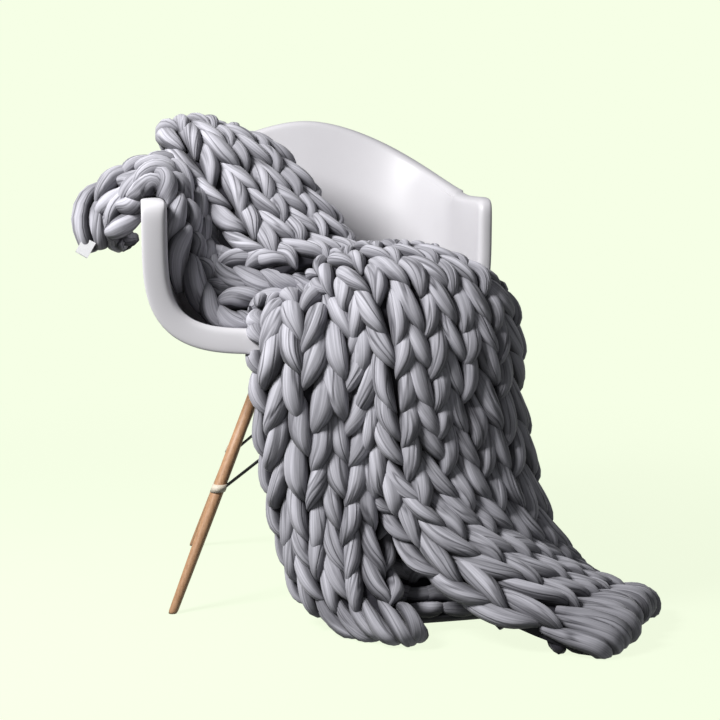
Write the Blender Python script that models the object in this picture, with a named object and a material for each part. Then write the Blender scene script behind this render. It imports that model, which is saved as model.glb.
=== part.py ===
"""Chunky knit blanket draped over a moulded shell armchair.

The blanket is one closed solid: six lengths of the same thick knit, each walked along its own
folds, joined into one body and cut flat where it lies on the floor.  The armchair under it is
plain: a moulded shell with a rolled rim, four turned legs and a wire brace.
Metres, +Z up, floor at z = 0.  The chair faces -Y.  The tables are laid out from the chair's
middle, and TO_CENTRE moves everything so that the whole object is centred on the Z axis.
"""
import math
from collections import namedtuple

import bmesh
import bpy
import numpy as np
from mathutils import Vector

# ---------------------------------------------------------------- sizes
KNIT_THICK = 0.040          # one layer of the knit, crown to crown
EDGE_POWER = 2.4            # how late across its width a length turns to its edges
EDGE_LEAN = 0.42            # thickness left at a side edge, as a share of KNIT_THICK
WALES_PER_CELL = 0.027      # facet width across the knit
COURSE_PER_CELL = 0.034     # facet length along the knit

WALL = 0.006                # moulded shell wall
RIM_RADIUS = 0.012          # bend from the wall into the rolled rim
RIM_FRONT = 0.030           # flat of the rim past its bend, along the front and up the left arm
RIM_RIGHT = 0.010           # the same, up the right arm's front
RIGHT_FLARE = 0.016         # how much further out the right arm's front stands
RIGHT_TUCK = 0.014          # how much further in its back end stands
RIM_ARM = 0.004             # the same, along the arms
RIM_BACK = 0.010            # the same, along the back
ROUND_FROM = 0.02           # y behind which the rim turns round the back
CLOTH_CLEARANCE = 0.0022    # gap kept between the knit and the shell

LEG_FOOT = (0.241, 0.228)   # foot centre, from the chair's middle
LEG_TOP = (0.084, 0.110)
BACK_LEGS_IN = 0.022        # how much nearer the middle the back legs stand
LEG_TOP_Z = 0.398
LEG_SIDES = 20
BRACE_Z = 0.196             # height of the brace's collars
COLLAR_HALF = 0.006         # half a collar's height
ROD_DROP = 0.008            # how far below a collar's middle its rods aim
ROD_TOP_DROP = 0.020        # how far below the legs' tops the rods end
ROD_RADIUS = 0.0026
ROD_PASS = 0.0012           # how far past touching two crossing rods are set apart
COLLAR_WALL = 0.0022
SOCKET_WALL = 0.0035
SOCKET_DEPTH = 0.034        # how far a leg goes into its socket
BAR_RADIUS = 0.006          # bars of the cross under the seat
BAR_RISE = 0.006            # the cross's centre above the legs' tops
FIT_GAP = 0.0004            # gap between pieces that touch

LABEL_AT = (-0.371, -0.1255, 0.604)     # middle of the label's top edge, at the back
LABEL_WIDE = 0.022
LABEL_DROP = 0.029
LABEL_THICK = 0.0008
LABEL_FOLD = 0.0016         # gap between the folded tape's two layers
LABEL_LEAN = 30.0           # degrees the label hangs out of plumb

TO_CENTRE = (-0.0713, 0.1031, 0.0)

# ---------------------------------------------------------------- the knit, one row per fold
# x y z: middle of the length; width: flat width across; turn, roll: heading and slope of the
# line across it, in degrees; left, right: how far each side edge turns down, in degrees.
Fold = namedtuple("Fold", "x y z width turn roll left right")

RIGHT_FALL = [
    Fold(0.095, 0.100, 0.540, 0.22, 0, 0, 20, 20),
    Fold(0.100, 0.000, 0.560, 0.24, 0, 0, 40, 40),
    Fold(0.106, -0.110, 0.576, 0.25, 0, 2, 60, 60),
    Fold(0.114, -0.195, 0.578, 0.26, 2, 3, 75, 75),
    Fold(0.162, -0.270, 0.542, 0.32, 6, 4, 95, 95),
    Fold(0.190, -0.304, 0.450, 0.34, 12, 2, 115, 100),
    Fold(0.201, -0.318, 0.340, 0.34, 15, 0, 120, 100),
    Fold(0.224, -0.332, 0.235, 0.33, 18, -6, 120, 80),
    Fold(0.267, -0.348, 0.155, 0.32, 26, -12, 115, 50),
    Fold(0.332, -0.366, 0.098, 0.31, 38, -10, 95, 40),
    Fold(0.405, -0.386, 0.060, 0.30, 50, -5, 75, 40),
    Fold(0.468, -0.404, 0.037, 0.29, 56, 0, 60, 45),
]
LEFT_FALL = [
    Fold(0.020, -0.060, 0.500, 0.20, 0, 0, 30, 30),
    Fold(0.014, -0.165, 0.508, 0.23, 0, 0, 60, 40),
    Fold(0.011, -0.250, 0.486, 0.25, 0, 0, 90, 70),
    Fold(0.010, -0.295, 0.410, 0.26, -2, 0, 105, 90),
    Fold(0.008, -0.305, 0.310, 0.25, -5, 0, 110, 115),
    Fold(0.004, -0.318, 0.200, 0.22, -14, 0, 115, 130),
    Fold(0.014, -0.342, 0.110, 0.20, -24, 0, 110, 130),
    Fold(0.042, -0.380, 0.044, 0.18, -34, 4, 90, 100),
    Fold(0.080, -0.402, 0.018, 0.15, -45, 6, 60, 70),
]
HEAP = [
    Fold(-0.060, 0.030, 0.478, 0.20, 40, 0, 20, 20),
    Fold(-0.110, 0.115, 0.505, 0.21, 38, 2, 25, 25),
    Fold(-0.145, 0.148, 0.590, 0.22, 36, 2, 30, 30),
    Fold(-0.170, 0.146, 0.690, 0.22, 36, -4, 40, 40),
    Fold(-0.172, 0.100, 0.776, 0.21, 36, -10, 50, 60),
    Fold(-0.138, 0.040, 0.758, 0.22, 36, -4, 60, 70),
    Fold(-0.094, 0.000, 0.700, 0.23, 36, 4, 65, 75),
    Fold(-0.052, -0.040, 0.638, 0.23, 34, 6, 65, 70),
    Fold(-0.014, -0.085, 0.592, 0.21, 28, 4, 55, 60),
    Fold(0.025, -0.135, 0.566, 0.19, 22, 2, 40, 40),
]
TAIL = [
    Fold(0.060, -0.130, 0.515, 0.14, -90, -55, 30, 40),
    Fold(-0.020, -0.145, 0.518, 0.14, -90, -58, 40, 50),
    Fold(-0.105, -0.146, 0.518, 0.14, -90, -58, 45, 50),
    Fold(-0.168, -0.130, 0.526, 0.14, -96, -50, 45, 50),
    Fold(-0.200, -0.108, 0.584, 0.13, -110, -22, 40, 50),
    Fold(-0.212, -0.088, 0.648, 0.12, -110, -10, 40, 50),
    Fold(-0.252, -0.067, 0.709, 0.12, -98, -12, 30, 22),
    Fold(-0.300, -0.080, 0.686, 0.12, -88, -38, 45, 50),
    Fold(-0.333, -0.090, 0.662, 0.12, -70, -52, 50, 50),
    Fold(-0.350, -0.097, 0.641, 0.12, -35, -55, 55, 55),
    Fold(-0.350, -0.101, 0.622, 0.11, 0, -35, 60, 60),
    Fold(-0.346, -0.103, 0.608, 0.09, 10, -12, 65, 65),
]
SEAT_FOLD = [
    Fold(0.010, 0.195, 0.530, 0.26, 0, 0, -30, -30),
    Fold(0.020, 0.130, 0.480, 0.32, 0, 0, -35, -35),
    Fold(0.030, 0.030, 0.464, 0.36, 0, 0, -35, -35),
    Fold(0.035, -0.080, 0.474, 0.36, 0, 0, -20, -20),
    Fold(0.040, -0.185, 0.500, 0.32, 0, 0, 10, 10),
]
INNER_FOLD = [
    Fold(0.100, -0.262, 0.420, 0.12, 0, 0, -20, -20),
    Fold(0.105, -0.268, 0.300, 0.14, 0, 0, -30, -30),
    Fold(0.112, -0.276, 0.180, 0.17, 0, 0, -30, -30),
    Fold(0.132, -0.284, 0.095, 0.20, 4, 0, -30, -30),
    Fold(0.158, -0.308, 0.038, 0.22, 8, 0, -20, -20),
    Fold(0.176, -0.350, 0.017, 0.22, 10, 0, 0, 0),
]

# ---------------------------------------------------------------- the shell, one row per rib
# Each rib is a U from arm to arm: rim_y, rim_z at its ends, low_y, low_z at its middle, half
# its width, how square its bends are, and how much of its height follows a plain arch.
Rib = namedtuple("Rib", "rim_y rim_z low_y low_z half square arch")

SHELL_RIBS = [
    Rib(-0.225, 0.666, -0.225, 0.468, 0.240, 6.0, 0.0),
    Rib(-0.160, 0.662, -0.130, 0.446, 0.245, 5.5, 0.0),
    Rib(-0.090, 0.660, -0.020, 0.432, 0.250, 5.0, 0.0),
    Rib(-0.030, 0.659, 0.080, 0.432, 0.255, 4.2, 0.0),
    Rib(0.010, 0.660, 0.165, 0.456, 0.259, 3.5, 0.0),
    Rib(0.038, 0.661, 0.222, 0.530, 0.262, 3.0, 0.1),
    Rib(0.056, 0.662, 0.248, 0.625, 0.264, 2.7, 0.4),
    Rib(0.068, 0.663, 0.268, 0.715, 0.266, 2.5, 0.8),
    Rib(0.075, 0.664, 0.282, 0.786, 0.267, 2.4, 1.0),
]
RIB_POINTS = 26             # facets from arm to arm
RIB_STEPS = 18              # facets from front to back
ARCH_POWER = 1.7


# ---------------------------------------------------------------- tables into smooth rows
def smooth_rows(table, count):
    """Rows of a table read along a smooth line through it, evenly spaced in length."""
    rows = np.array(table, float)
    step = np.linalg.norm(np.diff(rows[:, :3], axis=0), axis=1)
    knot = np.concatenate([[0.0], np.cumsum(step)])
    slope = np.gradient(rows, knot, axis=0)
    wanted = np.linspace(0.0, knot[-1], count + 1)
    left = np.clip(np.searchsorted(knot, wanted, side="right") - 1, 0, len(rows) - 2)
    span = (knot[left + 1] - knot[left])[:, None]
    t = ((wanted - knot[left])[:, None]) / span
    return ((2 * t ** 3 - 3 * t ** 2 + 1) * rows[left]
            + (t ** 3 - 2 * t ** 2 + t) * span * slope[left]
            + (-2 * t ** 3 + 3 * t ** 2) * rows[left + 1]
            + (t ** 3 - t ** 2) * span * slope[left + 1])


def unit(vectors):
    return vectors / np.linalg.norm(vectors, axis=-1, keepdims=True)


def walk_length(table, along, across):
    """Grid of points on the middle surface of one length of knit, rows along, columns across."""
    rows = smooth_rows(table, along)
    middle = rows[:, :3]
    width, turn, roll, left, right = rows[:, 3], *np.radians(rows[:, 4:8]).T
    sideways = np.stack([np.cos(turn) * np.cos(roll), np.sin(turn) * np.cos(roll),
                         np.sin(roll)], 1)
    outward = unit(np.cross(np.gradient(middle, axis=0), sideways))
    share = np.linspace(-1.0, 1.0, across + 1)
    fine = np.linspace(-1.0, 1.0, 20 * across + 1)
    bend = np.where(fine < 0, -left[:, None], right[:, None]) * np.abs(fine) ** EDGE_POWER
    step = width[:, None] / (20 * across)
    run = np.cumsum(np.cos(bend) * step, axis=1)
    drop = np.cumsum(np.sin(bend) * step, axis=1)
    run -= run[:, [10 * across]]
    drop -= drop[:, [10 * across]]
    picks = np.round((share + 1) * 10 * across).astype(int)
    return (middle[:, None] + sideways[:, None] * run[:, picks, None]
            - outward[:, None] * drop[:, picks, None])


def grid_normals(grid):
    """Outward normals of a grid whose rows run down the knit and columns run left to right."""
    return unit(np.cross(np.gradient(grid, axis=0), np.gradient(grid, axis=1)))


# ---------------------------------------------------------------- meshes and objects
def material(name, colour, roughness, metallic=0.0):
    made = bpy.data.materials.new(name)
    made.use_nodes = True
    shader = made.node_tree.nodes["Principled BSDF"]
    shader.inputs["Base Color"].default_value = (*colour, 1.0)
    shader.inputs["Roughness"].default_value = roughness
    shader.inputs["Metallic"].default_value = metallic
    return made


def add_object(name, mesh, finish):
    piece = bpy.data.objects.new(name, mesh)
    bpy.context.collection.objects.link(piece)
    mesh.materials.append(finish)
    return piece


def mesh_from(name, points, faces, smooth_angle=50.0):
    """Closed or open mesh with its faces turned outward, centred by TO_CENTRE."""
    mesh = bpy.data.meshes.new(name)
    mesh.from_pydata([tuple(Vector(p) + Vector(TO_CENTRE)) for p in points], [], faces)
    shape = bmesh.new()
    shape.from_mesh(mesh)
    bmesh.ops.recalc_face_normals(shape, faces=shape.faces)
    shape.to_mesh(mesh)
    shape.free()
    mesh.shade_smooth()
    mesh.set_sharp_from_angle(angle=math.radians(smooth_angle))
    return mesh


def loft_faces(rings, sides, closed_caps=True):
    """Quads between rings of points, each ring closed, with a face on both ends."""
    faces = [(r * sides + i, r * sides + (i + 1) % sides,
              (r + 1) * sides + (i + 1) % sides, (r + 1) * sides + i)
             for r in range(rings - 1) for i in range(sides)]
    if closed_caps:
        faces.append(tuple(range(sides)))
        faces.append(tuple((rings - 1) * sides + i for i in reversed(range(sides))))
    return faces


def guide(piece):
    """Marks a shape that only takes part in a Boolean."""
    piece.hide_render = True
    piece.display_type = "WIRE"
    return piece


def boolean(piece, other, operation):
    step = piece.modifiers.new(f"{operation.lower()} {other.name}", "BOOLEAN")
    step.operation = operation
    step.solver = "EXACT"
    step.object = other


# ---------------------------------------------------------------- the blanket
def length_solid(name, table, finish):
    """One length of knit as a closed solid, thinner at its side edges and rounded at its ends."""
    path = np.array(table, float)
    reach = np.linalg.norm(np.diff(path[:, :3], axis=0), axis=1).sum()
    along = round(reach / COURSE_PER_CELL)
    across = round(path[:, 3].max() / WALES_PER_CELL)
    grid = walk_length(table, along, across)
    normal = grid_normals(grid)
    side = np.abs(np.linspace(-1.0, 1.0, across + 1))
    lean = 1.0 - (1.0 - EDGE_LEAN) * side ** 6
    end = np.ones(along + 1)
    end[0] = end[-1] = 0.6
    offset = normal * (KNIT_THICK / 2 * lean[None, :, None] * end[:, None, None])
    rings = np.concatenate([grid + offset, (grid - offset)[:, ::-1]], axis=1)
    sides = rings.shape[1]
    faces = loft_faces(along + 1, sides, closed_caps=False)
    last = along * sides
    for i in range(across):
        faces.append((i, i + 1, sides - 2 - i, sides - 1 - i))
        faces.append((last + i, last + i + 1, last + sides - 2 - i, last + sides - 1 - i))
    return add_object(name, mesh_from(name, rings.reshape(-1, 3), faces), finish)


def blanket(finish, shell_room):
    lengths = [("inner_fold", INNER_FOLD), ("left_fall", LEFT_FALL), ("seat_fold", SEAT_FOLD),
               ("heap", HEAP), ("tail", TAIL)]
    cloth = length_solid("blanket", RIGHT_FALL, finish)
    for name, table in lengths:
        boolean(cloth, guide(length_solid(name, table, finish)), "UNION")
    boolean(cloth, shell_room, "DIFFERENCE")
    bpy.ops.mesh.primitive_cube_add(size=2.0, location=(0, 0, -1.0))
    floor = guide(bpy.context.object)
    floor.name = "floor_cut"
    boolean(cloth, floor, "DIFFERENCE")
    return cloth


# ---------------------------------------------------------------- the chair
def rib_curve(rib):
    """Points of one rib from the left arm's rim, through the seat, to the right arm's rim."""
    rim_y, rim_z, low_y, low_z, half, square, arch = rib
    angle = np.linspace(-math.pi / 2, math.pi / 2, 721)
    across = np.sign(np.sin(angle)) * np.abs(np.sin(angle)) ** (2 / square)
    rise = 1 - np.abs(np.cos(angle)) ** (2 / square)
    height = (1 - arch) * rise + arch * np.abs(across) ** ARCH_POWER
    flare = np.interp(rim_y, [-0.225, -0.05, 0.05], [RIGHT_FLARE, 0.0, -RIGHT_TUCK])
    line = np.stack([half * across + flare * np.clip(across, 0, 1) ** 2,
                     low_y + (rim_y - low_y) * rise,
                     low_z + (rim_z - low_z) * height], 1)
    length = np.concatenate([[0], np.cumsum(np.linalg.norm(np.diff(line, axis=0), axis=1))])
    even = np.linspace(0, length[-1], RIB_POINTS + 1)
    return np.stack([np.interp(even, length, line[:, k]) for k in range(3)], 1)


def shell_surface():
    """Inner surface of the shell: rows from front to back, columns from left arm to right arm."""
    ribs = smooth_rows([(r.low_y, r.low_z, 0.0, *r) for r in SHELL_RIBS], RIB_STEPS)[:, 3:]
    return np.array([rib_curve(rib) for rib in ribs])


def rim_loop(grid):
    """Grid indices round the shell's open edge."""
    rows, columns = grid.shape[0] - 1, grid.shape[1] - 1
    front = [(0, c) for c in range(columns)]
    right = [(r, columns) for r in range(rows)]
    back = [(rows, c) for c in range(columns, 0, -1)]
    left = [(r, 0) for r in range(rows, 0, -1)]
    return front + right + back + left


def rim_rows(grid, normal, longer):
    """Rows of points that carry the edge round its bend and out to the rim's flat."""
    loop = rim_loop(grid)
    edge = np.array([grid[r, c] for r, c in loop])
    plan = np.stack([edge[:, 0], np.clip(edge[:, 1] - ROUND_FROM, 0, None), 0 * edge[:, 0]], 1)
    is_front = np.array([r == 0 for r, c in loop])[:, None]
    lead = np.where(is_front, [[0.0, -1.0, 0.0]], [[0.0, 0.0, 1.0]])
    out = np.where(is_front, np.array([normal[r, c] for r, c in loop]), unit(plan))
    for _ in range(2):
        lead = unit(lead + 0.5 * (np.roll(lead, 1, axis=0) + np.roll(lead, -1, axis=0)))
        out = unit(out + 0.5 * (np.roll(out, 1, axis=0) + np.roll(out, -1, axis=0)))
    front_flat = np.interp(edge[:, 0], [0.10, 0.24], [RIM_FRONT, RIM_RIGHT])
    along = np.interp(edge[:, 1], [-0.17, -0.06], [1.0, 0.0])
    behind = np.interp(edge[:, 1], [-0.10, 0.20], [RIM_ARM, RIM_BACK])
    flat = along * front_flat + (1 - along) * behind
    bend = [math.radians(a) for a in (30, 60, 90)]
    made = [edge + RIM_RADIUS * (lead * math.sin(a) + out * (1 - math.cos(a))) for a in bend]
    made.append(made[-1] + out * (flat[:, None] + longer))
    return loop, made


def shell_mesh(name, outward, inward):
    """Closed shell between two offsets of its surface, with the rolled rim all the way round.

    The inward offset also lengthens the rim, so that a grown copy clears it on every side.
    """
    grid = shell_surface()
    normal = -unit(np.cross(np.gradient(grid, axis=0), np.gradient(grid, axis=1)))
    if normal[2, RIB_POINTS // 2, 2] > 0:
        normal = -normal
    loop, extra = rim_rows(grid, normal, inward)
    count = len(loop)
    rows, columns = grid.shape[:2]
    points = np.concatenate([grid.reshape(-1, 3)] + extra)
    faces = [(r * columns + c, r * columns + c + 1,
              (r + 1) * columns + c + 1, (r + 1) * columns + c)
             for r in range(rows - 1) for c in range(columns - 1)]
    edge = [r * columns + c for r, c in loop]
    for k in range(len(extra)):
        nxt = [rows * columns + k * count + i for i in range(count)]
        faces += [(edge[i], edge[(i + 1) % count], nxt[(i + 1) % count], nxt[i])
                  for i in range(count)]
        edge = nxt
    sheet = mesh_from(name + "_sheet", points, faces)
    side = np.array([v.normal for v in sheet.vertices])
    if side[(rows // 3) * columns + columns // 2][2] > 0:
        side = -side
    outer = points + side * outward
    inner = points - side * inward
    total = len(points)
    walls = [tuple(f) for f in faces] + [tuple(total + i for i in reversed(f)) for f in faces]
    walls += [(edge[i], edge[(i + 1) % count], total + edge[(i + 1) % count], total + edge[i])
              for i in range(count)]
    bpy.data.meshes.remove(sheet)
    return mesh_from(name, np.concatenate([outer, inner]), walls)


def shell(finish):
    return add_object("chair_shell", shell_mesh("chair_shell", WALL, 0.0), finish)


def leg_axis(side, front, z):
    """Centre of a leg at height z."""
    t = z / LEG_TOP_Z
    inward = BACK_LEGS_IN if front > 0 else 0.0
    return Vector((side * (LEG_FOOT[0] + (LEG_TOP[0] - LEG_FOOT[0]) * t - inward),
                   front * (LEG_FOOT[1] + (LEG_TOP[1] - LEG_FOOT[1]) * t), z))


def leg_radius(z):
    """Turned leg: widest a little above its middle, with a small bevel at the foot."""
    return float(np.interp(z, [0.0, 0.004, 0.10, 0.24, LEG_TOP_Z],
                           [0.0068, 0.0078, 0.0096, 0.0112, 0.0095]))


def round_leg(name, side, front, heights, radius, finish):
    """Stack of rings along a leg's slope, radius(z) wide."""
    points = []
    for z in heights:
        for i in range(LEG_SIDES):
            angle = 2 * math.pi * i / LEG_SIDES
            ring = radius(z) * Vector((math.cos(angle), math.sin(angle), 0))
            points.append(leg_axis(side, front, z) + ring)
    return add_object(name, mesh_from(name, points, loft_faces(len(heights), LEG_SIDES)), finish)


def leg(name, side, front, finish):
    heights = [0.0, 0.004, 0.06, 0.12, 0.18, 0.24, 0.32, LEG_TOP_Z]
    return round_leg(name, side, front, heights, leg_radius, finish)


def sleeve(name, side, front, z_low, z_high, wall, finish):
    """Solid sleeve that follows a leg's slope, later bored for the leg."""
    radius = leg_radius((z_low + z_high) / 2) + wall
    return round_leg(name, side, front, [z_low, z_high], lambda z: radius, finish)


def leg_room(name, side, front, finish):
    """A leg grown by the fitting gap, which bores the brace."""
    heights = [-0.01, 0.06, 0.12, 0.18, 0.24, 0.32, LEG_TOP_Z + FIT_GAP]
    return guide(round_leg(name, side, front, heights, lambda z: leg_radius(z) + FIT_GAP, finish))


def rod(name, start, end, radius, finish, sides=10):
    start, end = Vector(start), Vector(end)
    turn = (end - start).to_track_quat("Z", "Y")
    ring = [turn @ Vector((radius * math.cos(a), radius * math.sin(a), 0))
            for a in (2 * math.pi * i / sides for i in range(sides))]
    points = [start + p for p in ring] + [end + p for p in ring]
    return add_object(name, mesh_from(name, points, loft_faces(2, sides)), finish)


def cross_bar(name, side, finish):
    """Bar of the cross under the seat, from one front leg's top to the opposite back one's."""
    rise = Vector((0, 0, BAR_RISE))
    return rod(name, leg_axis(-side, -1, LEG_TOP_Z) + rise, leg_axis(side, 1, LEG_TOP_Z) + rise,
               BAR_RADIUS, finish)


def wire(name, from_leg, to_leg, shift, finish):
    """Rod of an X brace, from below one leg's collar to near the top of the next leg."""
    apart = Vector(shift) * (ROD_RADIUS + ROD_PASS)
    low = leg_axis(*from_leg, BRACE_Z - ROD_DROP) + apart
    high = leg_axis(*to_leg, LEG_TOP_Z - ROD_TOP_DROP) + apart
    return rod(name, low, high, ROD_RADIUS, finish)


def brace(finish):
    """Sockets at the legs' tops, a cross under the seat, collars at mid-leg and wire X braces."""
    body = cross_bar("wire_brace", 1, finish)
    parts = [cross_bar("cross_bar", -1, finish)]
    corners = [(side, front) for side in (-1, 1) for front in (-1, 1)]
    for side, front in corners:
        tag = f"{'left' if side < 0 else 'right'}_{'front' if front < 0 else 'back'}"
        parts += [
            sleeve(f"socket_{tag}", side, front, LEG_TOP_Z - SOCKET_DEPTH,
                   LEG_TOP_Z + BAR_RISE + 0.004, SOCKET_WALL, finish),
            sleeve(f"collar_{tag}", side, front, BRACE_Z - COLLAR_HALF, BRACE_Z + COLLAR_HALF,
                   COLLAR_WALL, finish),
            wire(f"across_{tag}", (side, front), (-side, front), (0, side, 0), finish),
            wire(f"along_{tag}", (side, front), (side, -front), (front, 0, 0), finish)]
    for piece in parts:
        boolean(body, guide(piece), "UNION")
    for side, front in corners:
        boolean(body, leg_room(f"room_{side}_{front}", side, front, finish), "DIFFERENCE")
    return body


# ---------------------------------------------------------------- the label
def label(finish):
    """Blank folded tape, hanging by its open end at the tail's corner."""
    outer, inner = LABEL_FOLD / 2 + LABEL_THICK, LABEL_FOLD / 2
    bend = [math.radians(a) for a in (0, 45, 90, 135, 180)]
    low = LABEL_DROP - outer
    profile = [(outer, 0)] + [(outer * math.cos(a), -low - outer * math.sin(a)) for a in bend]
    profile += [(-outer, 0), (-inner, 0)]
    profile += [(-inner * math.cos(a), -low - inner * math.sin(a)) for a in bend] + [(inner, 0)]
    lean = math.radians(LABEL_LEAN)
    points = []
    for x in (-LABEL_WIDE / 2, LABEL_WIDE / 2):
        for y, z in profile:
            hung = (x * math.cos(lean) + z * math.sin(lean), y - outer,
                    z * math.cos(lean) - x * math.sin(lean))
            points.append(Vector(LABEL_AT) + Vector(hung))
    return add_object("label", mesh_from("label", points, loft_faces(2, len(profile))), finish)


# ---------------------------------------------------------------- build
def build():
    for old in list(bpy.data.objects):
        bpy.data.objects.remove(old, do_unlink=True)
    wool = material("grey_knit", (0.36, 0.36, 0.40), 0.85)
    plastic = material("white_plastic", (0.80, 0.79, 0.80), 0.40)
    beech = material("beech", (0.56, 0.34, 0.19), 0.50)
    steel = material("black_steel", (0.02, 0.02, 0.02), 0.40, 0.8)
    tape = material("white_tape", (0.80, 0.80, 0.80), 0.80)
    shell(plastic)
    room_mesh = shell_mesh("shell_room", WALL + CLOTH_CLEARANCE, CLOTH_CLEARANCE)
    blanket(wool, guide(add_object("shell_room", room_mesh, plastic)))
    for side, side_name in ((-1, "left"), (1, "right")):
        for front, front_name in ((-1, "front"), (1, "back")):
            leg(f"leg_{side_name}_{front_name}", side, front, beech)
    brace(steel)
    label(tape)


build()
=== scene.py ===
"""Chunky knit blanket falling off a moulded shell armchair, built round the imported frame."""
import math
from collections import namedtuple
from functools import lru_cache

import bmesh
import bpy
import numpy as np
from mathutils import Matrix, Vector
from mathutils.bvhtree import BVHTree


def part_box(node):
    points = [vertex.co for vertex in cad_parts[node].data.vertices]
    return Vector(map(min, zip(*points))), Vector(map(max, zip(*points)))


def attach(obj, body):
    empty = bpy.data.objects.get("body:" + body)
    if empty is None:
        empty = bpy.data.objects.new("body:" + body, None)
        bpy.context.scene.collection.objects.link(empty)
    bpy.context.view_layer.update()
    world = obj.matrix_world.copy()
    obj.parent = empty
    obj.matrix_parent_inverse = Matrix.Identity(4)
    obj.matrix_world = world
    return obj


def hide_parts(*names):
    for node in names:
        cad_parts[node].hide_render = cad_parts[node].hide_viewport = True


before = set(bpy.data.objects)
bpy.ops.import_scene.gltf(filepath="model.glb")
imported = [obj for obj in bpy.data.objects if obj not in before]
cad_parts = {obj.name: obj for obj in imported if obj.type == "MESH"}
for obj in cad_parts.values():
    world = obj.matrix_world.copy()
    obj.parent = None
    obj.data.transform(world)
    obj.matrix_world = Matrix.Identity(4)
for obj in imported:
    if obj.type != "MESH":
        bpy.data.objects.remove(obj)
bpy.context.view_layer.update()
bpy.ops.object.select_all(action="DESELECT")

# ---------------------------------------------------------------- sizes, in metres
TO_CENTRE = np.array([-0.0713, 0.1031, 0.0])    # from the chair's middle to the frame's origin
EDGE_POWER = 2.4            # how late across its width a length turns to its edges
YARN_HALF = 0.0185          # half the width of a plump strand
YARN_RISE = 0.0165          # how far it swells out of the cloth
ROW_PITCH = 0.0585          # one stitch along the cloth
COLUMN_PITCH = 0.0560       # one stitch across it, where the yarn has its full size
FLOOR_GAP = 0.0008          # lowest the yarn comes to the floor
SHELL_GAP = 0.0016          # nearest the yarn comes to the shell
SHELL_SEARCH = 0.02         # how far from a point the shell is looked for
ANCHOR_LIFT = 0.008         # how far off the cloth's middle a point's way out begins
SHADE_SHEET_HALF = 0.007        # half the thickness of the sheet of painted shade inside the knit
SHADE_SHEET_SHARE = 0.94        # its width as a share of the cloth's
TAIL_ROW_PITCH = 0.044      # the tail's stitches are drawn together
RIB_DEPTH = 0.075           # creases along a strand, as a share of its size
FIBRE_TURN = 0.105          # fibre coordinate once round a strand
# The brace's four collars: middles in plan from the chair's middle, height of their
# middle, half their height and their reach from the leg's middle.
COLLARS = ((-0.164, -0.170), (0.164, -0.170), (-0.142, 0.170), (0.142, 0.170))
COLLAR_Z, COLLAR_HALF, COLLAR_REACH = 0.196, 0.0075, 0.0155

# ---------------------------------------------------------------- folds of the cloth
# x y z: middle of the length; width: flat width across; turn, roll: heading and slope of the
# line across it, in degrees; left, right: how far each side edge turns down, in degrees.
Fold = namedtuple("Fold", "x y z width turn roll left right")

RIGHT_FALL = [
    Fold(0.095, 0.100, 0.540, 0.22, 0, 0, 20, 20),
    Fold(0.100, 0.000, 0.560, 0.24, 0, 0, 40, 40),
    Fold(0.106, -0.110, 0.576, 0.25, 0, 2, 60, 60),
    Fold(0.114, -0.195, 0.578, 0.26, 2, 3, 75, 75),
    Fold(0.162, -0.270, 0.542, 0.32, 6, 4, 95, 95),
    Fold(0.190, -0.304, 0.450, 0.34, 12, 2, 115, 100),
    Fold(0.201, -0.318, 0.340, 0.34, 15, 0, 120, 100),
    Fold(0.224, -0.332, 0.235, 0.33, 18, -6, 120, 80),
    Fold(0.267, -0.348, 0.155, 0.32, 26, -12, 115, 50),
    Fold(0.332, -0.366, 0.098, 0.31, 38, -10, 95, 40),
    Fold(0.405, -0.386, 0.060, 0.30, 50, -5, 75, 40),
    Fold(0.468, -0.404, 0.037, 0.29, 56, 0, 60, 45),
]
LEFT_FALL = [
    Fold(0.020, -0.060, 0.500, 0.20, 0, 0, 30, 30),
    Fold(0.014, -0.165, 0.508, 0.23, 0, 0, 60, 40),
    Fold(0.011, -0.250, 0.486, 0.25, 0, 0, 90, 70),
    Fold(0.010, -0.295, 0.410, 0.26, -2, 0, 105, 90),
    Fold(0.008, -0.305, 0.310, 0.25, -5, 0, 110, 115),
    Fold(0.004, -0.318, 0.200, 0.22, -14, 0, 115, 130),
    Fold(0.014, -0.342, 0.110, 0.20, -24, 0, 110, 130),
    Fold(0.042, -0.380, 0.044, 0.18, -34, 4, 90, 100),
    Fold(0.080, -0.402, 0.018, 0.15, -45, 6, 60, 70),
]
HEAP = [
    Fold(-0.060, 0.030, 0.478, 0.20, 40, 0, 20, 20),
    Fold(-0.110, 0.115, 0.505, 0.21, 38, 2, 25, 25),
    Fold(-0.145, 0.148, 0.590, 0.22, 36, 2, 30, 30),
    Fold(-0.170, 0.146, 0.690, 0.22, 36, -4, 40, 40),
    Fold(-0.172, 0.100, 0.776, 0.21, 36, -10, 50, 60),
    Fold(-0.138, 0.040, 0.758, 0.22, 36, -4, 60, 70),
    Fold(-0.094, 0.000, 0.700, 0.23, 36, 4, 65, 75),
    Fold(-0.052, -0.040, 0.638, 0.23, 34, 6, 65, 70),
    Fold(-0.014, -0.085, 0.592, 0.21, 28, 4, 55, 60),
    Fold(0.025, -0.135, 0.566, 0.19, 22, 2, 40, 40),
]
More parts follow.
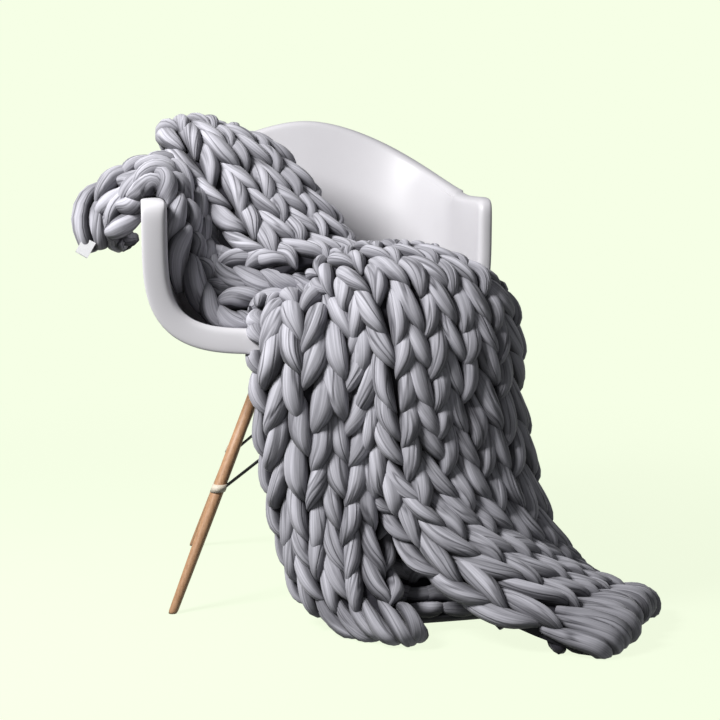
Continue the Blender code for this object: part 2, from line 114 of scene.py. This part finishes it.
TAIL = [
    Fold(0.060, -0.130, 0.515, 0.14, -90, -55, 30, 40),
    Fold(-0.020, -0.145, 0.518, 0.14, -90, -58, 40, 50),
    Fold(-0.105, -0.146, 0.518, 0.14, -90, -58, 45, 50),
    Fold(-0.168, -0.130, 0.526, 0.14, -96, -50, 45, 50),
    Fold(-0.200, -0.108, 0.584, 0.13, -110, -22, 40, 50),
    Fold(-0.212, -0.088, 0.648, 0.12, -110, -10, 40, 50),
    Fold(-0.252, -0.067, 0.709, 0.12, -98, -12, 30, 22),
    Fold(-0.300, -0.080, 0.686, 0.12, -88, -38, 45, 50),
    Fold(-0.333, -0.090, 0.662, 0.12, -70, -52, 50, 50),
    Fold(-0.350, -0.097, 0.641, 0.12, -35, -55, 55, 55),
    Fold(-0.350, -0.101, 0.622, 0.11, 0, -35, 60, 60),
    Fold(-0.346, -0.103, 0.608, 0.09, 10, -12, 65, 65),
]
SEAT_FOLD = [
    Fold(0.010, 0.195, 0.530, 0.26, 0, 0, -30, -30),
    Fold(0.020, 0.130, 0.480, 0.32, 0, 0, -35, -35),
    Fold(0.030, 0.030, 0.464, 0.36, 0, 0, -35, -35),
    Fold(0.035, -0.080, 0.474, 0.36, 0, 0, -20, -20),
    Fold(0.040, -0.185, 0.500, 0.32, 0, 0, 10, 10),
]
INNER_FOLD = [
    Fold(0.100, -0.262, 0.420, 0.12, 0, 0, -20, -20),
    Fold(0.105, -0.268, 0.300, 0.14, 0, 0, -30, -30),
    Fold(0.112, -0.276, 0.180, 0.17, 0, 0, -30, -30),
    Fold(0.132, -0.284, 0.095, 0.20, 4, 0, -30, -30),
    Fold(0.158, -0.308, 0.038, 0.22, 8, 0, -20, -20),
    Fold(0.176, -0.350, 0.017, 0.22, 10, 0, 0, 0),
]

# ---------------------------------------------------------------- how a strand lies
# Every strand of a stitch is a row of points: across in columns, along in rows, lift off the
# cloth's middle in metres, and its width and height there as shares of the plumpest.
Lie = namedtuple("Lie", "across along lift wide high")

KNIT_LEG = [                # outer, tucked end first; the point of the V last
    Lie(0.440, -1.10, -0.0110, 0.40, 0.45),
    Lie(0.400, -0.85, -0.0040, 0.68, 0.80),
    Lie(0.365, -0.55, 0.0020, 0.86, 1.00),
    Lie(0.315, -0.20, 0.0065, 0.92, 1.12),
    Lie(0.240, 0.14, 0.0100, 0.86, 1.12),
    Lie(0.125, 0.44, 0.0110, 0.58, 0.92),
    Lie(0.010, 0.70, 0.0045, 0.16, 0.35),
]
PURL_HEAD = [               # round bump on the wrong side, over the column's middle
    Lie(-0.52, 0.10, 0.0020, 0.55, 0.50),
    Lie(-0.34, -0.12, 0.0085, 0.80, 0.80),
    Lie(0.00, -0.25, 0.0120, 0.90, 0.95),
    Lie(0.34, -0.12, 0.0085, 0.80, 0.80),
    Lie(0.52, 0.10, 0.0020, 0.55, 0.50),
]

END_LOOP = [                # over the cloth's end, from its face to its back
    Lie(0.24, -1.25, 0.0010, 0.45, 0.45),
    Lie(0.25, -0.62, 0.0105, 0.88, 0.90),
    Lie(0.24, -0.08, 0.0140, 1.00, 1.05),
    Lie(0.25, 0.16, 0.0040, 1.04, 1.15),
    Lie(0.25, 0.14, -0.0080, 1.04, 1.10),
    Lie(0.26, -0.14, -0.0130, 0.95, 0.95),
    Lie(0.27, -0.60, -0.0100, 0.60, 0.55),
]


# ---------------------------------------------------------------- cloth surfaces
def smooth_rows(table, count):
    """Rows of a table read along a smooth line through it, evenly spaced in length."""
    rows = np.array(table, float)
    step = np.linalg.norm(np.diff(rows[:, :3], axis=0), axis=1)
    knot = np.concatenate([[0.0], np.cumsum(step)])
    slope = np.gradient(rows, knot, axis=0)
    wanted = np.linspace(0.0, knot[-1], count + 1)
    left = np.clip(np.searchsorted(knot, wanted, side="right") - 1, 0, len(rows) - 2)
    span = (knot[left + 1] - knot[left])[:, None]
    t = ((wanted - knot[left])[:, None]) / span
    return ((2 * t ** 3 - 3 * t ** 2 + 1) * rows[left]
            + (t ** 3 - 2 * t ** 2 + t) * span * slope[left]
            + (-2 * t ** 3 + 3 * t ** 2) * rows[left + 1]
            + (t ** 3 - t ** 2) * span * slope[left + 1])


def unit(vectors):
    """Vectors scaled to length one."""
    return vectors / np.linalg.norm(vectors, axis=-1, keepdims=True)


def walk_length(table, along, across):
    """Grid of points on the middle surface of one length of knit, rows along, columns across."""
    rows = smooth_rows(table, along)
    middle = rows[:, :3] + TO_CENTRE
    width, turn, roll, left, right = rows[:, 3], *np.radians(rows[:, 4:8]).T
    sideways = np.stack([np.cos(turn) * np.cos(roll), np.sin(turn) * np.cos(roll),
                         np.sin(roll)], 1)
    outward = unit(np.cross(np.gradient(middle, axis=0), sideways))
    fine = np.linspace(-1.0, 1.0, 20 * across + 1)
    bend = np.where(fine < 0, -left[:, None], right[:, None]) * np.abs(fine) ** EDGE_POWER
    step = width[:, None] / (20 * across)
    run = np.cumsum(np.cos(bend) * step, axis=1)
    drop = np.cumsum(np.sin(bend) * step, axis=1)
    run -= run[:, [10 * across]]
    drop -= drop[:, [10 * across]]
    picks = np.arange(across + 1) * 20
    return (middle[:, None] + sideways[:, None] * run[:, picks, None]
            - outward[:, None] * drop[:, picks, None])


class Cloth:
    """One length of knit: places a point by its column, its row and its lift off the middle."""
    ALONG, ACROSS = 160, 48

    def __init__(self, name, table, columns, seed, pitch=ROW_PITCH):
        rows = np.array(table, float)
        self.name, self.columns = name, columns
        self.reach = np.linalg.norm(np.diff(rows[:, :3], axis=0), axis=1).sum()
        self.rows = round(self.reach / pitch)
        self.width = smooth_rows(table, self.ALONG)[:, 3]
        self.grid = walk_length(table, self.ALONG, self.ACROSS)
        self.normal = unit(np.cross(np.gradient(self.grid, axis=0),
                                    np.gradient(self.grid, axis=1)))
        self.random = np.random.default_rng(seed)
        self.waves = self.random.uniform(0.0, 2 * math.pi, (3, 3))

    def drift(self, column, row):
        """Slow wandering of the stitches: across in columns, along in rows, lift in metres."""
        turns = np.array([[0.9, 0.7, 0.11], [1.7, -1.1, 0.07], [-0.8, 2.3, 0.06]])
        shift = [sum(size * math.sin(a * column + b * row + self.waves[k, n])
                     for n, (a, b, size) in enumerate(turns)) for k in range(3)]
        return shift[0] * 0.8, shift[1] * 1.1, shift[2] * 0.010

    def plump(self, row):
        """How plump the yarn lies at a row: less where the cloth is drawn in."""
        place = row / self.rows * self.ALONG
        width = np.interp(place, np.arange(self.ALONG + 1), self.width)
        return float(np.clip(width / self.columns / COLUMN_PITCH, 0.72, 1.18))

    def read(self, column, row):
        """Point and normal at a column (0 .. columns) and a row (0 .. rows)."""
        a = np.asarray(column, float) / self.columns * self.ACROSS
        b = np.asarray(row, float) / self.rows * self.ALONG
        i = np.clip(np.floor(a).astype(int), 0, self.ACROSS - 1)
        j = np.clip(np.floor(b).astype(int), 0, self.ALONG - 1)
        fa, fb = (a - i)[..., None], (b - j)[..., None]

        def mixed(field):
            return ((field[j, i] * (1 - fa) + field[j, i + 1] * fa) * (1 - fb)
                    + (field[j + 1, i] * (1 - fa) + field[j + 1, i + 1] * fa) * fb)
        return mixed(self.grid), unit(mixed(self.normal))


# ---------------------------------------------------------------- strands
class Yarn:
    """Collects strands into one mesh, with fibre coordinates, each point's share of light left by
    painted shade and each point's anchor.
    """

    def __init__(self):
        self.points, self.faces, self.fibre, self.depth = [], [], [], []
        self.anchors, self.count = [], 0

    def add(self, points, faces, fibre, depth, anchors):
        self.points.append(points)
        self.anchors.append(anchors)
        self.faces += [tuple(self.count + k for k in face) for face in faces]
        self.fibre.append(fibre)
        self.depth.append(depth)
        self.count += len(points)


@lru_cache
def tube_faces(rings, sides):
    """Faces of a closed tube: quads between its rings and a cap at each end."""
    faces = [(r * sides + i, r * sides + (i + 1) % sides,
              (r + 1) * sides + (i + 1) % sides, (r + 1) * sides + i)
             for r in range(rings - 1) for i in range(sides)]
    faces.append(tuple(reversed(range(sides))))
    faces.append(tuple((rings - 1) * sides + i for i in range(sides)))
    return faces


def smooth_line(table, count):
    """A Catmull-Rom line through a short table of rows."""
    rows = np.array(table, float)
    knots = np.linspace(0, 1, len(rows))
    slope = np.gradient(rows, knots, axis=0)
    t = np.linspace(0, 1, count + 1)
    k = np.clip((t * (len(rows) - 1)).astype(int), 0, len(rows) - 2)
    h = knots[1]
    s = ((t - knots[k]) / h)[:, None]
    return ((2 * s ** 3 - 3 * s ** 2 + 1) * rows[k] + (s ** 3 - 2 * s ** 2 + s) * h * slope[k]
            + (3 * s ** 2 - 2 * s ** 3) * rows[k + 1] + (s ** 3 - s ** 2) * h * slope[k + 1])


def lay_strand(yarn, cloth, lie, column, row, mirror=1, face=1, along=14, around=22, plump=1.0,
               wraps=False):
    """Lays one strand of a stitch on the cloth; face -1 lays it on the wrong side."""
    rng = cloth.random
    line = smooth_line(lie, along)
    shift = rng.normal(0, 1, 8)
    drift = cloth.drift(column, row)
    lean = 0.05 * shift[6] * np.linspace(-1, 1, along + 1)
    col = column + mirror * line[:, 0] + 0.025 * shift[0] + lean + drift[0]
    place, normal = cloth.read(col, row + line[:, 1] * (1 + 0.05 * shift[7])
                               + 0.06 * shift[1] + drift[1])
    normal = normal * face
    lift = line[:, 2] + 0.0010 * shift[2] + drift[2]
    centre = place + normal * lift[:, None]
    run = unit(np.gradient(centre, axis=0))
    side = unit(np.cross(run, normal))
    if wraps:               # the strand turns over the cloth's end, so its width keeps one way
        first = unit(np.cross(run[0], normal[0]))
        side = unit(first - run * (run @ first)[:, None])
    up = np.cross(side, run)
    wide = YARN_HALF * plump * line[:, 3] * (1 + 0.06 * shift[3])
    high = YARN_RISE * plump * line[:, 4] * (1 + 0.06 * shift[4])
    upper = round(around * 0.66)
    angle = np.concatenate([np.linspace(0, math.pi, upper, endpoint=False),
                            np.linspace(math.pi, 2 * math.pi, around - upper, endpoint=False)])
    t = np.linspace(0, 1, along + 1)[:, None]
    twist = 0.9 * shift[5] * (t - 0.5)
    lobes = rng.uniform(1.6, 2.6)
    phase = rng.uniform(0, 6.28)
    ribs = RIB_DEPTH * np.abs(np.sin(lobes * (angle[None] + twist) + phase)) ** 0.6
    round_off = np.clip(np.sin(math.pi * np.clip(t, 0.02, 0.98)), 0.15, 1)
    swell = 1 - 0.05 + ribs * round_off
    bow = np.sign(np.cos(angle)) * np.abs(np.cos(angle)) ** 0.92
    crown = np.where(np.sin(angle) > 0, np.sin(angle), 0.75 * np.sin(angle))
    points = (centre[:, None]
              + side[:, None] * (wide[:, None] * swell * bow[None])[..., None]
              + up[:, None] * (high[:, None] * swell * crown[None])[..., None])
    length = np.concatenate([[0], np.cumsum(np.linalg.norm(np.diff(centre, axis=0), axis=1))])
    start = rng.uniform(0, 50)
    fibre = np.stack(np.broadcast_arrays(
        length[:, None] + start,
        ((angle[None] + twist) / (2 * math.pi)) * FIBRE_TURN + start * 0.37), -1)
    # Painted shade: the share of light is high on a strand's top, low on its underside, lower in
    # the grooves between its ribs and on the top towards its ends; it darkens the yarn's colour.
    grooves = 0.6 * (1 - np.clip(ribs / RIB_DEPTH, 0, 1)) * round_off
    depth = np.clip(0.5 + 0.5 * np.sin(angle)[None] * (0.35 + 0.65 * round_off), 0, 1)
    depth = depth * (1 - 0.45 * grooves)
    rings, sides = points.shape[:2]
    anchors = np.repeat(place + normal * (ANCHOR_LIFT * face), sides, axis=0)
    yarn.add(points.reshape(-1, 3), tube_faces(rings, sides), fibre.reshape(-1, 2),
             np.broadcast_to(depth, (rings, sides)).reshape(-1), anchors)


def knit_columns(yarn, cloth, rows):
    """Rows of V stitches; each V's point lies over the next stitch down the cloth."""
    for column in range(cloth.columns):
        stagger = cloth.random.uniform(0.05, 0.45)      # one leg of the V hangs lower
        for row in range(rows):
            for mirror in (-1, 1):
                lay_strand(yarn, cloth, KNIT_LEG, column + 0.5,
                           row + 0.5 + mirror * stagger / 2, mirror,
                           plump=cloth.plump(row + 0.5))


def purl_rows(yarn, cloth, face):
    """Rows of the wrong side's round bumps, every other one turned over."""
    for row in range(cloth.rows):
        for half in range(2 * cloth.columns - 1):
            flip = 1 if half % 2 == 0 else -1
            lie = [Lie(p.across, flip * p.along, p.lift, p.wide, p.high) for p in PURL_HEAD]
            lay_strand(yarn, cloth, lie, 0.5 + half / 2, row + 0.25 + 0.5 * (half % 2),
                       face=face, along=8, around=12, plump=0.86 * cloth.plump(row))


def end_loops(yarn, cloth, at_row):
    """Two loops a column that close the cloth's end."""
    for column in range(cloth.columns):
        for mirror in (-1, 1):
            lay_strand(yarn, cloth, END_LOOP, column + 0.5, at_row, mirror, along=18,
                       plump=cloth.plump(at_row), wraps=True)


def shade_sheet(yarn, cloth):
    """A near-black sheet at the cloth's middle: painted shade seen between the stitches, and no
    light passes between them.
    """
    step_j, step_i = 5, 3
    grid = cloth.grid[::step_j, ::step_i]
    normal = cloth.normal[::step_j, ::step_i]
    middle = grid.mean(axis=1, keepdims=True)
    grid = middle + (grid - middle) * SHADE_SHEET_SHARE
    front, back = grid + normal * SHADE_SHEET_HALF, grid - normal * SHADE_SHEET_HALF
    rings = np.concatenate([front, back[:, ::-1]], axis=1)
    points = rings.reshape(-1, 3)
    start = grid + normal * ANCHOR_LIFT
    anchors = np.concatenate([start, start[:, ::-1]], axis=1)
    # A lit share of nought paints the whole sheet near black.
    yarn.add(points, tube_faces(*rings.shape[:2]), points[:, :2], np.zeros(len(points)),
             anchors.reshape(-1, 3))


# ---------------------------------------------------------------- keeping clear of the shell
def shell_tree():
    """The shell's wall, ready for ray casts."""
    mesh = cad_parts["chair_shell"].data
    mesh.calc_loop_triangles()
    return BVHTree.FromPolygons([v.co for v in mesh.vertices],
                                [tuple(t.vertices) for t in mesh.loop_triangles])


def keep_clear(points, anchors, tree):
    """Stops points at the shell's wall on their way out from the cloth, then holds them off it."""
    low = np.array(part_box("chair_shell")[0]) - 0.004
    high = np.array(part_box("chair_shell")[1]) + 0.004
    near = np.where(((points > low) & (points < high)).all(axis=1))[0]
    for k in near:
        start, way = Vector(anchors[k]), Vector(points[k] - anchors[k])
        place, normal, _, gap = tree.ray_cast(start, way.normalized(), way.length)
        if place is not None and way.dot(normal) < 0:
            points[k] = start + way.normalized() * max(gap - SHELL_GAP, 0.0)
        place, normal, _, gap = tree.find_nearest(Vector(points[k]), SHELL_SEARCH)
        if place is None:
            continue
        away = (Vector(points[k]) - place).dot(normal)
        if away < SHELL_GAP:
            points[k] = place + normal * SHELL_GAP
    points[:, 2] = np.maximum(points[:, 2], FLOOR_GAP)
    return points


def yarn_mesh(name, yarn, tree, finish):
    """One mesh of all its strands, with their fibre coordinates and their share of painted shade.
    """
    points = keep_clear(np.concatenate(yarn.points), np.concatenate(yarn.anchors), tree)
    mesh = bpy.data.meshes.new(name)
    mesh.from_pydata([tuple(p) for p in points], [], yarn.faces)
    shape = bmesh.new()
    shape.from_mesh(mesh)
    if shape.calc_volume(signed=True) < 0:
        bmesh.ops.reverse_faces(shape, faces=shape.faces)
    shape.to_mesh(mesh)
    shape.free()
    fibre = np.concatenate(yarn.fibre)
    corner = np.empty(len(mesh.loops), dtype=np.int32)
    mesh.loops.foreach_get("vertex_index", corner)
    layer = mesh.uv_layers.new(name="fibre")
    layer.data.foreach_set("uv", fibre[corner].astype(np.float32).reshape(-1))
    depth = mesh.attributes.new("yarn_painted_lit_share", "FLOAT", "POINT")
    depth.data.foreach_set("value", np.concatenate(yarn.depth).astype(np.float32))
    mesh.shade_smooth()
    piece = bpy.data.objects.new(name, mesh)
    bpy.context.collection.objects.link(piece)
    mesh.materials.append(finish)
    return piece


# ---------------------------------------------------------------- shader maths
class Socket:
    """A shader value that takes part in ordinary arithmetic by adding Math nodes."""

    def __init__(self, tree, link):
        self.tree, self.link = tree, link

    def math(self, operation, other=None, swap=False):
        node = self.tree.nodes.new("ShaderNodeMath")
        node.operation = operation
        ends = [self] if other is None else ([other, self] if swap else [self, other])
        for socket, value in zip(node.inputs, ends):
            if isinstance(value, Socket):
                self.tree.links.new(value.link, socket)
            else:
                socket.default_value = value
        return Socket(self.tree, node.outputs[0])

    def __add__(self, other):
        return self.math("ADD", other)

    def __radd__(self, other):
        return self.math("ADD", other, swap=True)

    def __sub__(self, other):
        return self.math("SUBTRACT", other)

    def __rsub__(self, other):
        return self.math("SUBTRACT", other, swap=True)

    def __mul__(self, other):
        return self.math("MULTIPLY", other)

    def __rmul__(self, other):
        return self.math("MULTIPLY", other, swap=True)

    def __abs__(self):
        return self.math("ABSOLUTE")


class Finish:
    """A material whose nodes are all added through one method."""

    def __init__(self, name):
        self.material = bpy.data.materials.new(name)
        self.material.use_nodes = True
        self.tree = self.material.node_tree
        self.shader = self.tree.nodes["Principled BSDF"]

    def node(self, kind, settings=None, output=0, **sockets):
        """Adds a node: its settings, then values or links by socket name or number."""
        made = self.tree.nodes.new("ShaderNode" + kind)
        for key, value in (settings or {}).items():
            setattr(made, key, value)
        for key, value in sockets.items():
            socket = made.inputs[int(key[1:]) if key[1:].isdigit() else key.replace("_", " ")]
            self.feed(socket, value)
        return Socket(self.tree, made.outputs[output])

    def feed(self, socket, value):
        if isinstance(value, Socket):
            self.tree.links.new(value.link, socket)
        else:
            socket.default_value = value

    def blend(self, factor, dark, light):
        """Colour between two others."""
        return self.node("Mix", {"data_type": "RGBA"}, output=2, s0=factor,
                         s6=dark if isinstance(dark, Socket) else (*dark, 1.0),
                         s7=light if isinstance(light, Socket) else (*light, 1.0))

    def smooth(self, value, low, high):
        return self.node("MapRange", {"interpolation_type": "SMOOTHSTEP"},
                         Value=value, From_Min=low, From_Max=high)

    def vector(self, x, y, z=0.0):
        return self.node("CombineXYZ", X=x, Y=y, Z=z)

    def noise(self, vector, scale, detail=3.0, roughness=0.5):
        return self.node("TexNoise", Vector=vector, Scale=scale, Detail=detail,
                         Roughness=roughness)

    def done(self, roughness=None, bump=None, bump_strength=0.5, bump_distance=0.001,
             colour=None, **constants):
        for key, value in constants.items():
            self.shader.inputs[key.replace("_", " ")].default_value = value
        if colour is not None:
            self.feed(self.shader.inputs["Base Color"],
                      colour if isinstance(colour, Socket) else (*colour, 1.0))
        if roughness is not None:
            self.feed(self.shader.inputs["Roughness"], roughness)
        if bump is not None:
            normal = self.node("Bump", Strength=bump_strength, Distance=bump_distance,
                               Height=bump)
            self.feed(self.shader.inputs["Normal"], normal)
        return self.material


def grey_yarn():
    """Unspun roving: fine fibres along the strand, a few deep creases with painted shade along
    them, and painted shade in the hollows under and between the strands.
    """
    f = Finish("grey_roving")
    fibre = f.node("UVMap", {"uv_map": "fibre"})
    split = f.tree.nodes.new("ShaderNodeSeparateXYZ")
    f.tree.links.new(fibre.link, split.inputs[0])
    run, round_it = Socket(f.tree, split.outputs[0]), Socket(f.tree, split.outputs[1])
    depth = f.node("Attribute", {"attribute_name": "yarn_painted_lit_share"}, output=2)
    fine = f.noise(f.vector(run * 9.0, round_it * 420.0), 1.0, detail=2.0)
    coarse = f.noise(f.vector(run * 7.0, round_it * 95.0), 1.0, detail=2.0)
    fold = f.noise(f.vector(run * 5.0, round_it * 42.0, 3.0), 1.0, detail=1.0)
    crease = 1 - f.smooth(abs(fold - 0.5), 0.0, 0.045)
    patch = f.noise(f.vector(run * 14.0, round_it * 14.0, 7.0), 1.0)
    # The creases darken the colour here as painted shade, besides shaping the bump below.
    light = (0.62 + 0.75 * (fine - 0.5) + 0.60 * (coarse - 0.5) + 0.20 * (patch - 0.5)
             - 0.30 * crease)
    # Painted shade: the colour falls towards the near-black end below where the painted lit share
    # is low.
    light = light * (0.03 + 0.97 * f.smooth(depth, 0.36, 1.05))
    colour = f.blend(light, (0.016, 0.015, 0.021), (0.76, 0.75, 0.82))
    bump = fine * 0.35 + coarse * 0.9 - crease * 0.7
    return f.done(colour=colour, roughness=0.80, bump=bump, bump_strength=0.6,
                  bump_distance=0.0020, Sheen_Weight=0.15, Sheen_Roughness=0.4,
                  Specular_IOR_Level=0.15)


def white_shell():
    f = Finish("satin_white_shell")
    place = f.node("TexCoord", output=3)
    grain = f.noise(place, 900.0, detail=2.0)
    cloud = f.noise(place, 6.0)
    colour = f.blend(cloud, (0.57, 0.555, 0.58), (0.63, 0.62, 0.64))
    return f.done(colour=colour, roughness=0.36 + 0.08 * cloud, bump=grain,
                  bump_strength=0.12, bump_distance=0.0003, Specular_IOR_Level=0.3)


def beech_wood():
    f = Finish("oiled_beech")
    place = f.node("TexCoord", output=3)
    stretched = f.node("Mapping", Vector=place, Scale=(1.0, 1.0, 0.07))
    rings = f.noise(stretched, 260.0, detail=4.0)
    flecks = f.noise(f.node("Mapping", Vector=place, Scale=(1.0, 1.0, 0.22)), 700.0, detail=2.0)
    colour = f.blend(rings, (0.30, 0.145, 0.065), (0.62, 0.37, 0.21))
    colour = f.blend(f.smooth(flecks, 0.60, 0.70) * 0.5, colour, (0.22, 0.10, 0.045))
    return f.done(colour=colour, roughness=0.42 + 0.15 * rings, bump=rings,
                  bump_strength=0.2, bump_distance=0.0004)


def black_steel():
    f = Finish("black_steel")
    place = f.node("TexCoord", output=3)
    peel = f.noise(place, 500.0)
    return f.done(colour=f.blend(peel, (0.010, 0.010, 0.012), (0.028, 0.028, 0.030)),
                  roughness=0.30 + 0.15 * peel, bump=peel, bump_strength=0.1,
                  bump_distance=0.0003, Metallic=0.3)


def cream_nylon():
    f = Finish("cream_nylon")
    place = f.node("TexCoord", output=3)
    wear = f.noise(place, 300.0)
    return f.done(colour=f.blend(wear, (0.50, 0.42, 0.32), (0.80, 0.74, 0.62)), roughness=0.55,
                  bump=wear, bump_strength=0.15, bump_distance=0.0003)


def woven_tape():
    f = Finish("white_tape")
    place = f.node("TexCoord", output=3)
    weave = f.node("TexChecker", output=1, Vector=place, Scale=1400.0)
    return f.done(colour=f.blend(weave, (0.74, 0.74, 0.76), (0.83, 0.83, 0.84)),
                  roughness=0.8, bump=weave, bump_strength=0.3, bump_distance=0.0003)


# ---------------------------------------------------------------- stage
AZIMUTH, ELEVATION, DISTANCE = -4.0, 7.9, 2.83
AIM = np.array([0.068, -0.20, 0.411]) + TO_CENTRE
LENS = 86.75


def set_camera():
    """A camera in front of the seat, a little above it."""
    a, e = math.radians(AZIMUTH), math.radians(ELEVATION)
    back = Vector((math.sin(a) * math.cos(e), -math.cos(a) * math.cos(e), math.sin(e)))
    lens = bpy.data.cameras.new("camera")
    lens.lens, lens.sensor_width = LENS, 36.0
    camera = bpy.data.objects.new("camera", lens)
    bpy.context.collection.objects.link(camera)
    camera.location = Vector(AIM) + back * DISTANCE
    camera.rotation_euler = (-back).to_track_quat("-Z", "Y").to_euler()
    bpy.context.scene.camera = camera


PALE = (0.922, 1.0, 0.791)              # the backdrop's colour
LAMPS = (                               # name, watts, size, place
    ("key", 73.0, 0.75, (-1.45, -0.78, 1.85)),
    ("back_fill", 5.0, 1.2, (1.30, 1.50, 1.40)),
)
LAMPS_AIM = Vector((-0.05, 0.0, 0.45))


def set_stage():
    """A pale floor and backdrop, a soft key from the left and a weak light behind."""
    bpy.ops.mesh.primitive_circle_add(vertices=96, radius=30.0, fill_type="NGON",
                                      location=(0, 0, -0.0005))
    floor = bpy.context.object
    floor.name = "floor"
    f = Finish("pale_floor")
    f.shader.inputs["Emission Strength"].default_value = 1.0
    place = f.node("TexCoord", output=3)
    spread = f.node("VectorMath", {"operation": "LENGTH"}, output=1, Vector=place)
    far = f.smooth(spread, 0.5, 2.2)
    f.feed(f.shader.inputs["Emission Color"], f.blend(far, (0.86, 0.935, 0.735), PALE))
    f.done(colour=f.blend(far, (0.07, 0.076, 0.064), (0.0, 0.0, 0.0)), roughness=0.95,
           Specular_IOR_Level=0.0)
    floor.visible_diffuse = False
    floor.data.materials.append(f.material)
    world = bpy.data.worlds.new("studio")
    bpy.context.scene.world = world
    world.use_nodes = True
    tree = world.node_tree
    sky = tree.nodes["Background"]
    sky.inputs["Color"].default_value = (0.95, 0.97, 1.0, 1.0)
    sky.inputs["Strength"].default_value = 0.13
    seen = tree.nodes.new("ShaderNodeBackground")
    seen.inputs["Color"].default_value = (*PALE, 1.0)
    path = tree.nodes.new("ShaderNodeLightPath")
    mix = tree.nodes.new("ShaderNodeMixShader")
    tree.links.new(path.outputs["Is Camera Ray"], mix.inputs[0])
    tree.links.new(sky.outputs[0], mix.inputs[1])
    tree.links.new(seen.outputs[0], mix.inputs[2])
    tree.links.new(mix.outputs[0], tree.nodes["World Output"].inputs["Surface"])
    for name, power, size, place in LAMPS:
        lamp = bpy.data.lights.new(name, "AREA")
        lamp.shape, lamp.size, lamp.energy = "DISK", size, power
        light = bpy.data.objects.new(name, lamp)
        bpy.context.collection.objects.link(light)
        light.location = place
        toward = LAMPS_AIM - Vector(place)
        light.rotation_euler = toward.to_track_quat("-Z", "Y").to_euler()
        light.visible_camera = False
    bpy.context.scene.view_settings.view_transform = "Standard"


# ---------------------------------------------------------------- build
def smooth_copy(node, name, finish, levels=0, angle=40.0, quads=False):
    """A merged copy of a frame node, smoothed, with its own finish."""
    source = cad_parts[node]
    piece = bpy.data.objects.new(name, source.data.copy())
    bpy.context.collection.objects.link(piece)
    piece.data.materials.clear()
    piece.data.materials.append(finish)
    bpy.ops.object.select_all(action="DESELECT")
    piece.select_set(True)
    bpy.context.view_layer.objects.active = piece
    bpy.ops.object.mode_set(mode="EDIT")
    bpy.ops.mesh.select_all(action="SELECT")
    bpy.ops.mesh.remove_doubles(threshold=0.00002)
    if quads:
        bpy.ops.mesh.tris_convert_to_quads(face_threshold=math.radians(60),
                                           shape_threshold=math.radians(60))
    bpy.ops.object.mode_set(mode="OBJECT")
    if levels:
        step = piece.modifiers.new("smooth", "SUBSURF")
        step.levels = step.render_levels = levels
        bpy.ops.object.modifier_apply(modifier="smooth")
        bpy.ops.object.shade_smooth()
    else:
        bpy.ops.object.shade_smooth_by_angle(angle=math.radians(angle))
    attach(piece, "root")
    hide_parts(node)
    return piece


def knit():
    """The blanket: every length of its drape, knitted on its own folds."""
    tree = shell_tree()
    finish = grey_yarn()
    lengths = (             # a hanging length shows its wrong side and its looped end
        (Cloth("knit_right_fall", RIGHT_FALL, 6, 11), "hanging"),
        (Cloth("knit_left_fall", LEFT_FALL, 4, 12), "hanging"),
        (Cloth("knit_heap", HEAP, 4, 13), "lying"),
        (Cloth("knit_tail", TAIL, 2, 14, TAIL_ROW_PITCH), "hanging"),
        (Cloth("knit_seat", SEAT_FOLD, 6, 15), "lying"),
        (Cloth("knit_pleat", INNER_FOLD, 4, 16), "inside out"),
    )
    for cloth, way in lengths:
        yarn = Yarn()
        if way == "hanging":
            knit_columns(yarn, cloth, cloth.rows - 1)
            purl_rows(yarn, cloth, face=-1)
            end_loops(yarn, cloth, cloth.rows)
        elif way == "lying":
            knit_columns(yarn, cloth, cloth.rows)
        else:
            purl_rows(yarn, cloth, face=1)
        shade_sheet(yarn, cloth)
        piece = yarn_mesh(cloth.name, yarn, tree, finish)
        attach(piece, "root")
        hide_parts("blanket")


def chair():
    """Shell, legs and brace, each on its own node's form."""
    smooth_copy("chair_shell", "shell_smooth", white_shell(), levels=2,
                quads=True)
    beech = beech_wood()
    for node in ("leg_left_front", "leg_left_back", "leg_right_front", "leg_right_back"):
        smooth_copy(node, node + "_turned", beech, angle=45.0)
    brace = smooth_copy("wire_brace", "brace_painted", black_steel(), angle=40.0)
    brace.data.materials.append(cream_nylon())
    for face in brace.data.polygons:
        place = np.array(face.center) - TO_CENTRE
        near = min(math.hypot(place[0] - x, place[1] - y) for x, y in COLLARS)
        if near < COLLAR_REACH and abs(place[2] - COLLAR_Z) < COLLAR_HALF:
            face.material_index = 1


set_camera()
set_stage()
knit()
chair()
tape = smooth_copy("label", "label_tape", woven_tape(), angle=30.0)
